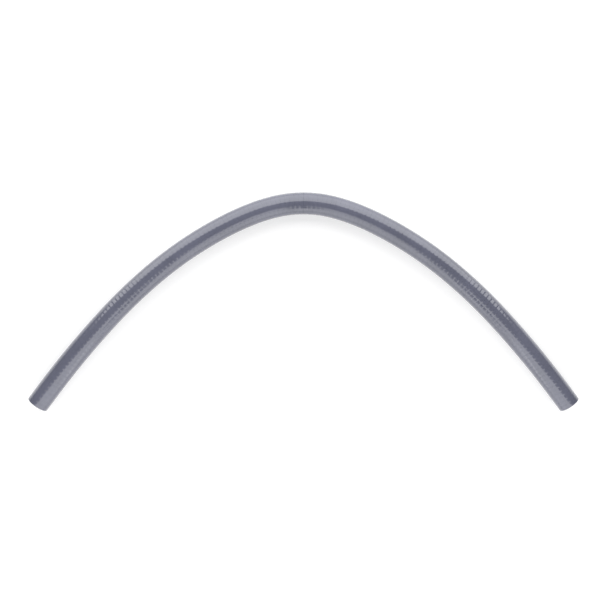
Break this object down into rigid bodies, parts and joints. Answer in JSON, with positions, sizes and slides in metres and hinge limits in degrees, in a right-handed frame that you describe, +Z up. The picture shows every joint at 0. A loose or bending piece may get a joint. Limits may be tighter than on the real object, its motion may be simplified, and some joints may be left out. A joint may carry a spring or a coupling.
{
  "type": "pool vacuum hose",
  "caption": "Ribbed flexible PVC hose with a smooth bore and plain cut ends, lying flat in a relaxed symmetric bow.",
  "frame": {"origin": "under the middle of the hose's box, on the surface that it lies on", "axes": "+X from one cut end towards the other, +Y towards the middle of the bow, +Z up"},
  "size_m": [1.1974, 0.4766, 0.0483],
  "materials": {
    "liner_pvc": "smooth satin flexible PVC",
    "rigid_pvc": "satin rigid PVC",
    "cover_pvc": "semi-gloss flexible PVC"
  },
  "bodies": {
    "root": {"inner_liner": "liner_pvc", "stiffening_rings": "rigid_pvc", "outer_cover": "cover_pvc"}
  },
  "joints": []
}
